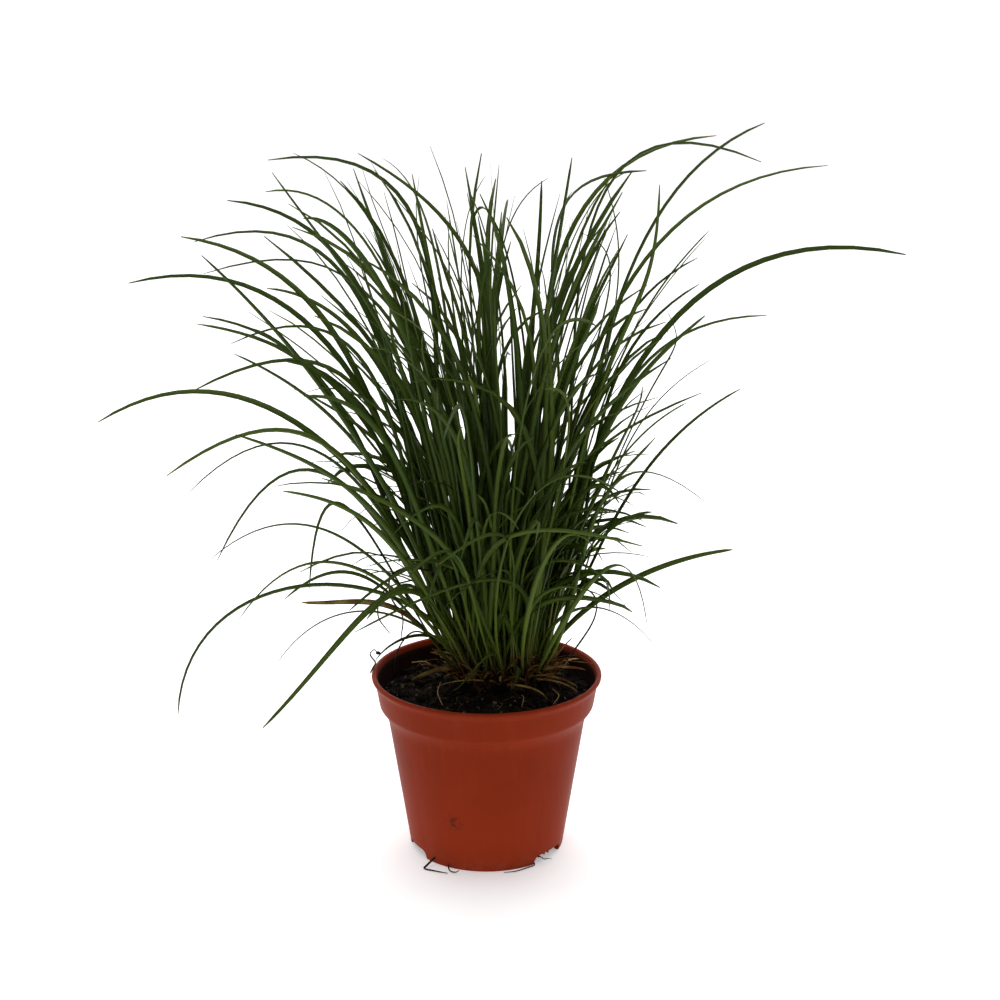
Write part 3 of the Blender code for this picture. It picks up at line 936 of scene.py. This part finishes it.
class GRASS_OT_single_leaves(bpy.types.Operator):
    """Add the single long leaves that arch clear of the tufts"""

    bl_idname = "grass.single_leaves"
    bl_label = "Single leaves"

    def execute(self, context):
        pattern = model_blade(LONG_LEAF_ROWS)
        dice = random.Random(77)
        for side, designs in SINGLE_LEAVES.items():
            for number, design in enumerate(sorted(designs)):
                heading, *stations, width = design
                heading = math.radians(heading)
                ring = LEAF_RING_RADIUS - (number % 3) * LEAF_RING_STEP
                start = on_crown(heading, FOOT_INWARDS * ring, LEAF_START)
                points = arc_through(start, *mm_stations(heading, stations))
                bundle = Bundle(pattern)
                tone = dice.random() ** 1.6
                bundle.grow(points, width * BLADE_FULLNESS * MM, tone, **leaf_roll(dice, 0.5))
                name = f"leaf_{side}_{number + 1:02d}"
                show(bundle.piece(name + "_blade"), leaf_finish(), "leaf", name)
        for name, designs in PLACED_LEAVES.items():
            least_roll = 0.6 if name == "low_leaves" else 0.35
            bundle = Bundle(pattern)
            for heading, reach, *stations, width, dry in designs:
                start = on_crown(math.radians(heading), reach * MM, LEAF_START)
                points = arc_through(start, *(Vector(station) * MM for station in stations))
                tone = dice.random() ** 1.3
                bundle.grow(points, width * MM, tone, dry=dry, **leaf_roll(dice, least_roll))
            show(bundle.piece(name), leaf_finish(), "leaf")
        return {"FINISHED"}


class GRASS_OT_wires(bpy.types.Operator):
    """Add the wiry stems, the curled sprout at the rim and the root ends under the foot"""

    bl_idname = "grass.wires"
    bl_label = "Wiry stems and roots"

    def execute(self, context):
        wires = Bundle(model_blade(LONG_LEAF_ROWS, round_section=True))
        for stations, width, tone in WIRES:
            points = smooth_through([Vector(station) * MM for station in stations], LONG_LEAF_ROWS)
            wires.grow(points, width * MM, tone)
        show(wires.piece("wiry_stems_and_roots"), fibre_finish(), "dry_sheath")
        start_clean()
        bpy.ops.mesh.primitive_uv_sphere_add(
            segments=16, ring_count=8, radius=1.15 * MM, location=SPROUT_HEAD
        )
        head = name_piece("sprout_head")
        bpy.ops.object.mode_set(mode="EDIT")
        bpy.ops.mesh.select_all(action="SELECT")
        bpy.ops.transform.resize(value=(1.15, 0.85, 0.8), center_override=SPROUT_HEAD)
        bpy.ops.object.mode_set(mode="OBJECT")
        set_tone(head, 0.0)
        head.data.shade_smooth()
        show(head, fibre_finish(), "dry_sheath")
        return {"FINISHED"}


class GRASS_OT_pot(bpy.types.Operator):
    """Turn the pot, then cut the notches between its feet and its drain holes"""

    bl_idname = "grass.pot"
    bl_label = "Pot"

    def execute(self, context):
        pot = extrude_rings(self.profile(), context.scene.grass_pot.segments, "pot_shell")
        for number in range(3):
            subtract(pot, self.notch(math.radians(FRONT_FOOT + 60.0 + 120.0 * number)))
        for number in range(6):
            subtract(pot, self.drain(math.radians(FRONT_FOOT + 60.0 * number)))
        start_clean()
        pot.select_set(True)
        context.view_layer.objects.active = pot
        bpy.ops.object.shade_smooth_by_angle(angle=math.radians(60.0))
        show(pot, pot_finish(), "pot_plastic", "pot")
        show(self.flash(), pot_finish(), "pot_plastic")
        return {"FINISHED"}

    def flash(self):
        """Ragged slivers of plastic that the mould left along the edges of the notches."""
        dice = random.Random(5)
        bundle = Bundle(model_blade(STRAND_ROWS))
        for first, last, count in ((-52.0, -30.0, 16), (-170.0, -146.0, 7), (70.0, 96.0, 7)):
            for _ in range(count):
                heading = math.radians(dice.uniform(first, last))
                start = from_axis(heading, dice.uniform(38.6, 39.8) * MM, 5.2 * MM)
                length = dice.uniform(0.9, 2.6) * MM
                down = Vector((dice.gauss(0.0, 0.5), dice.gauss(0.0, 0.5), -1.0)).normalized()
                tip = start + down * length
                points = [start.lerp(tip, row / STRAND_ROWS) for row in range(STRAND_ROWS + 1)]
                bundle.grow(points, dice.uniform(0.7, 1.8) * MM, 0.5, turn=dice.uniform(0.0, 3.0))
        return bundle.piece("pot_flash")

    def profile(self):
        """(radius, height) from the edge of the floor up inside, over the lip and down to the foot."""
        lip = LIP_RADIUS / MM
        top = POT_HEIGHT / MM
        inside = [
            (38.9, 6.4), (39.9, 7.2), (49.6, 68.4), (50.6, 72.0), (53.2, 78.0), (54.6, 80.2), (55.9, 89.4),
        ]
        lip_in = [(57.5, top - 0.6), (58.1, top - 0.1), (lip - 1.2, top), (lip - 0.5, top - 0.1)]
        lip_out = [(lip - 0.1, top - 0.6), (lip, top - 1.2), (lip - 0.15, top - 2.0), (lip - 0.7, top - 2.8)]
        band = [
            (58.5, top - 3.7), (58.05, top - 4.8), (57.75, top - 6.2), (57.4, top - 8.0),
            (56.2, top - 15.2), (55.9, top - 16.4), (55.4, top - 17.3), (54.7, top - 18.0),
        ]
        body = [
            (52.3, 73.2), (51.6, 71.0), (51.2, 69.2), (50.9, 67.2), (40.5, 0.7), (40.2, 0.15), (39.7, 0.0),
        ]
        foot = [(38.2, 0.0), (37.8, 0.3), (37.9, 4.2), (37.4, 5.0)]
        corners = inside + lip_in + lip_out + band + body + foot
        return [(radius * MM, height * MM) for radius, height in corners]

    def notch(self, heading):
        """A block with a rounded top, which opens the foot ring between two feet."""
        start_clean()
        bpy.ops.mesh.primitive_cube_add(size=1.0, location=(0.0, 0.0, 0.0))
        block = bpy.context.active_object
        block.scale = (12.0 * MM, 22.0 * MM, 9.6 * MM)
        bpy.ops.object.transform_apply(scale=True)
        bpy.ops.object.mode_set(mode="EDIT")
        shape = bmesh.from_edit_mesh(block.data)
        for edge in shape.edges:
            first, second = (vertex.co for vertex in edge.verts)
            edge.select_set(first.z > 0 and second.z > 0 and abs(first.y - second.y) < 1e-6)
        bmesh.update_edit_mesh(block.data)
        bpy.ops.mesh.bevel(offset=3.2 * MM, segments=5)
        bpy.ops.object.mode_set(mode="OBJECT")
        block.rotation_euler.z = heading
        block.location = from_axis(heading, NOTCH_REACH, 0.0)
        return block

    def drain(self, heading):
        start_clean()
        bpy.ops.mesh.primitive_cylinder_add(
            vertices=24, radius=DRAIN_RADIUS, depth=8.0 * MM,
            location=from_axis(heading, DRAIN_REACH, 5.7 * MM),
        )
        return bpy.context.active_object


def soil_height(x, y):
    """The soil's surface: level, dipping a little to the wall, rough at every scale."""
    reach = math.hypot(x, y)
    level = SOIL_TOP - 2.6 * MM - 1.6 * MM * (reach / SOIL_RADIUS) ** 4
    rough = noise.noise(Vector((x, y, 0.0)) * 70.0) * 1.6 + noise.noise(Vector((x, y, 3.0)) * 260.0) * 1.1
    return level + rough * MM


def on_soil(dice, margin):
    """A random place on the soil, at least a margin inside its edge: x and y."""
    reach = (SOIL_RADIUS - margin) * math.sqrt(dice.random())
    heading = dice.uniform(0.0, 2 * math.pi)
    return reach * math.cos(heading), reach * math.sin(heading)


class GRASS_OT_soil(bpy.types.Operator):
    """Fill the pot with potting mix and scatter crumbs, flecks and fibres over it"""

    bl_idname = "grass.soil"
    bl_label = "Soil"

    def execute(self, context):
        settings = context.scene.grass_soil
        show(self.body(), soil_finish(), "soil", "potting_soil")
        crumb = self.crumb()
        dice = random.Random(12)
        crumbs = self.scatter("soil_crumbs", crumb, dice, settings.crumbs, smallest=0.5, largest=2.3)
        show(crumbs, soil_finish(), "soil")
        flecks = self.scatter("soil_flecks", crumb, dice, settings.flecks, smallest=0.3, largest=1.1)
        show(flecks, fleck_finish(), "soil")
        show(self.lumps(crumb, dice), fleck_finish(), "soil")
        show(self.fibres(dice, settings.fibres), fibre_finish(), "soil")
        return {"FINISHED"}

    def body(self):
        top = SOIL_TOP - 2.0 * MM
        rings = 26
        wall = [
            (38.0 * MM, 6.8 * MM), (39.4 * MM, 7.6 * MM), (49.1 * MM, 68.4 * MM), (54.0 * MM, 80.4 * MM),
            (SOIL_RADIUS, top - 2.0 * MM),
        ]
        cover = [(SOIL_RADIUS * (1.0 - ring / rings), top) for ring in range(1, rings)]
        body = extrude_rings(wall + cover, 110, "potting_mix")
        for vertex in body.data.vertices:
            if vertex.co.z > top - 2.5 * MM:
                vertex.co.z = soil_height(vertex.co.x, vertex.co.y)
        body.data.shade_smooth()
        return body

    def crumb(self):
        start_clean()
        bpy.ops.mesh.primitive_ico_sphere_add(subdivisions=1, radius=1.0, location=(0.0, 0.0, 0.0))
        crumb = name_piece("crumb_pattern")
        bpy.ops.object.mode_set(mode="EDIT")
        bpy.ops.mesh.select_all(action="SELECT")
        bpy.ops.transform.vertex_random(offset=0.3, seed=3)
        bpy.ops.object.mode_set(mode="OBJECT")
        return Shape(crumb)

    def scatter(self, name, crumb, dice, count, smallest, largest):
        """Many turned and squashed copies of the crumb, most of them small. The sizes are in mm."""
        copies, tones = [], []
        for _ in range(count):
            x, y = on_soil(dice, 1.2 * MM)
            size = (smallest + (largest - smallest) * dice.random() ** 2.5) * MM
            turn = random_turn(dice)
            stretch = np.array([1.0, dice.uniform(0.6, 1.0), dice.uniform(0.45, 0.9)])
            points = (crumb.points * stretch * size) @ turn
            copies.append(points + np.array([x, y, soil_height(x, y) + size * 0.25]))
            tones.append(np.full(len(points), dice.random() ** 1.6))
        piece = joined(name, crumb.faces, copies, {"tone": tones})
        piece.data.shade_flat()
        return piece

    def lumps(self, crumb, dice):
        """The few large pale lumps, each a cluster of three."""
        copies, tones = [], []
        for x, y, radius in PALE_LUMPS:
            for _ in range(3):
                size = radius * dice.uniform(0.3, 0.62) * MM
                place_x = x * MM + dice.gauss(0.0, 0.6) * size
                place_y = y * MM + dice.gauss(0.0, 0.6) * size
                points = (crumb.points * size) @ random_turn(dice)
                height = soil_height(place_x, place_y) + size * 0.5
                copies.append(points + np.array([place_x, place_y, height]))
                tones.append(np.full(len(points), dice.uniform(0.3, 0.85)))
        piece = joined("soil_lumps", crumb.faces, copies, {"tone": tones})
        piece.data.shade_flat()
        return piece

    def fibres(self, dice, count):
        bundle = Bundle(model_blade(STRAND_ROWS))
        for _ in range(count):
            x, y = on_soil(dice, 6.0 * MM)
            start = Vector((x, y, soil_height(x, y)))
            points = wander(dice, start, dice.uniform(4.0, 16.0) * MM, 0.35 * MM)
            bundle.grow(points, dice.uniform(0.15, 0.45) * MM, dice.random())
        return bundle.piece("soil_fibres")


def random_turn(dice):
    """A random rotation matrix."""
    axis = np.array([dice.gauss(0, 1), dice.gauss(0, 1), dice.gauss(0, 1)])
    axis /= np.linalg.norm(axis)
    angle = dice.uniform(0.0, 2 * math.pi)
    cross = np.array([[0, -axis[2], axis[1]], [axis[2], 0, -axis[0]], [-axis[1], axis[0], 0]])
    return np.eye(3) + math.sin(angle) * cross + (1 - math.cos(angle)) * cross @ cross


def wander(dice, start, length, lift):
    """A thin strand that lies on the soil, curving as it goes."""
    heading = dice.uniform(0.0, 2 * math.pi)
    bend = dice.gauss(0.0, 0.16)
    points = [start]
    for _ in range(STRAND_ROWS):
        heading += bend + dice.gauss(0.0, 0.12)
        step = length / STRAND_ROWS
        x = points[-1].x + step * math.cos(heading)
        y = points[-1].y + step * math.sin(heading)
        reach = math.hypot(x, y)
        limit = SOIL_RADIUS - 1.5 * MM
        if reach > limit:
            x, y = x * limit / reach, y * limit / reach
        points.append(Vector((x, y, soil_height(x, y) + lift + dice.uniform(0.0, 0.5) * MM)))
    return points


class GRASS_OT_crown(bpy.types.Operator):
    """Build the crown: a low mound of packed old bases, with torn sheaths and dry leaves round it"""

    bl_idname = "grass.crown"
    bl_label = "Crown"

    def execute(self, context):
        show(self.mound(), fibre_finish(), "dry_sheath", "crown")
        show(self.sheaths(), leaf_finish(), "dry_sheath")
        return {"FINISHED"}

    def mound(self):
        rings = 14
        low = SOIL_TOP - 4.0 * MM
        cover = [(CROWN_RADIUS * (1.0 - ring / rings), low) for ring in range(1, rings)]
        foot = [(CROWN_RADIUS * 0.9, low - 2.0 * MM), (CROWN_RADIUS, low)]
        mound = extrude_rings(foot + cover, 64, "crown_mound")
        for vertex in mound.data.vertices:
            reach = math.hypot(vertex.co.x, vertex.co.y) / CROWN_RADIUS
            if vertex.co.z > low - 1.0 * MM:
                rise = 6.5 * MM * max(0.0, 1.0 - reach**2)
                rough = noise.noise(vertex.co * 300.0) * 1.4 * MM
                vertex.co.z = low + rise + rough * (1.0 - reach)
            vertex.co.x = vertex.co.x * 0.8 + CROWN_CENTRE.x
            vertex.co.y = vertex.co.y * ROOTS_DEPTH + CROWN_CENTRE.y + ROOTS_BACK
        set_tone(mound, 0.35)
        mound.data.shade_smooth()
        return mound

    def sheaths(self):
        bundle = Bundle(model_blade(STRAND_ROWS))
        dice = random.Random(31)
        for _ in range(OLD_SHEATHS):
            heading = dice.uniform(0.0, 2 * math.pi)
            reach = CROWN_RADIUS * dice.uniform(0.2, 0.84)
            start = on_crown(heading, reach, SOIL_TOP - 1.0 * MM)
            length = dice.uniform(8.0, 30.0) * MM
            points = arc_bending(
                start, heading + dice.gauss(0.0, 0.7), length, math.radians(dice.uniform(5.0, 50.0)),
                math.radians(dice.uniform(0.0, 80.0)), 1.3, dice.gauss(0.0, 0.5), STRAND_ROWS,
            )
            bundle.grow(
                points, dice.uniform(0.8, 2.4) * MM, dice.random(), dry=dice.uniform(0.5, 1.0),
                turn=dice.gauss(0.0, 0.8), twist=dice.gauss(0.0, 1.2),
            )
        return bundle.piece("old_sheaths")


class GRASS_OT_stage(bpy.types.Operator):
    """Set the pale floor, the soft lights and the camera"""

    bl_idname = "grass.stage"
    bl_label = "Stage"

    def execute(self, context):
        settings = context.scene.grass_stage
        start_clean()
        bpy.ops.mesh.primitive_plane_add(size=80.0, location=(0.0, 0.0, 0.0))
        floor = name_piece("floor")
        floor.data.materials.append(floor_finish())
        self.sky(context)
        for light in LIGHTS:
            self.soft_light(*light)
        camera = bpy.data.objects.new("camera", bpy.data.cameras.new("camera"))
        context.collection.objects.link(camera)
        camera.data.lens = settings.lens
        camera.location = settings.eye
        camera.rotation_euler = (math.pi / 2 - settings.pitch, 0.0, 0.0)
        context.scene.camera = camera
        context.scene.view_settings.view_transform = "Standard"
        return {"FINISHED"}

    def sky(self, context):
        """A white room, brightest behind the clump and dimmer towards the front and both sides."""
        world = bpy.data.worlds.new("studio")
        world.use_nodes = True
        context.scene.world = world
        nodes, links = world.node_tree.nodes, world.node_tree.links
        white = nodes["Background"]
        white.inputs["Color"].default_value = (1.0, 1.0, 1.0, 1.0)
        white.inputs["Strength"].default_value = 1.0
        room = nodes.new("ShaderNodeBackground")
        direction = nodes.new("ShaderNodeTexCoord")
        split = nodes.new("ShaderNodeSeparateXYZ")
        range_of = nodes.new("ShaderNodeMapRange")
        for socket, value in zip(range_of.inputs[1:5], (-1.0, 1.0, FRONT_LIGHT, BACK_LIGHT)):
            socket.default_value = value
        links.new(direction.outputs["Generated"], split.inputs[0])
        links.new(split.outputs["Y"], range_of.inputs[0])
        square, dim, strength = (nodes.new("ShaderNodeMath") for _ in range(3))
        for node, operation in ((square, "MULTIPLY"), (dim, "MULTIPLY_ADD"), (strength, "MULTIPLY")):
            node.operation = operation
        dim.inputs[1].default_value = -SIDE_DIMMING
        dim.inputs[2].default_value = 1.0
        links.new(split.outputs["X"], square.inputs[0])
        links.new(split.outputs["X"], square.inputs[1])
        links.new(square.outputs[0], dim.inputs[0])
        links.new(dim.outputs[0], strength.inputs[0])
        links.new(range_of.outputs[0], strength.inputs[1])
        links.new(strength.outputs[0], room.inputs["Strength"])
        seen = nodes.new("ShaderNodeLightPath")
        choose = nodes.new("ShaderNodeMixShader")
        links.new(seen.outputs["Is Camera Ray"], choose.inputs[0])
        links.new(room.outputs[0], choose.inputs[1])
        links.new(white.outputs[0], choose.inputs[2])
        links.new(choose.outputs[0], nodes["World Output"].inputs["Surface"])

    def soft_light(self, name, place, size, power):
        data = bpy.data.lights.new(name, "AREA")
        data.shape = "SQUARE"
        data.size = size
        data.energy = power
        light = bpy.data.objects.new(name, data)
        bpy.context.collection.objects.link(light)
        light.location = place
        light.rotation_euler = (Vector(LIT_POINT) - Vector(place)).to_track_quat("-Z", "Y").to_euler()


class GRASS_PT_panel(bpy.types.Panel):
    """Lists the pieces of the clump"""

    bl_label = "Grass clump"
    bl_idname = "GRASS_PT_panel"
    bl_space_type = "VIEW_3D"
    bl_region_type = "UI"
    bl_category = "Grass"

    def draw(self, context):
        for operator in OPERATORS:
            self.layout.operator(operator.bl_idname)
        for group in ("grass_leaves", "grass_pot", "grass_soil", "grass_stage"):
            settings = getattr(context.scene, group)
            for name in settings.__annotations__:
                self.layout.prop(settings, name)


OPERATORS = (
    GRASS_OT_pot,
    GRASS_OT_soil,
    GRASS_OT_crown,
    GRASS_OT_tufts,
    GRASS_OT_single_leaves,
    GRASS_OT_wires,
    GRASS_OT_stage,
)
SETTINGS = {
    "grass_leaves": GrassLeafSettings,
    "grass_pot": GrassPotSettings,
    "grass_soil": GrassSoilSettings,
    "grass_stage": GrassStageSettings,
}
CLASSES = (*SETTINGS.values(), *OPERATORS, GRASS_PT_panel)


def register():
    for one in CLASSES:
        bpy.utils.register_class(one)
    for name, group in SETTINGS.items():
        setattr(bpy.types.Scene, name, PointerProperty(type=group))


def unregister():
    for name in SETTINGS:
        delattr(bpy.types.Scene, name)
    for one in reversed(CLASSES):
        bpy.utils.unregister_class(one)


def main():
    register()
    for item in ("pot", "soil", "crown", "tufts", "single_leaves", "wires", "stage"):
        getattr(bpy.ops.grass, item)()


if __name__ == "__main__":
    main()
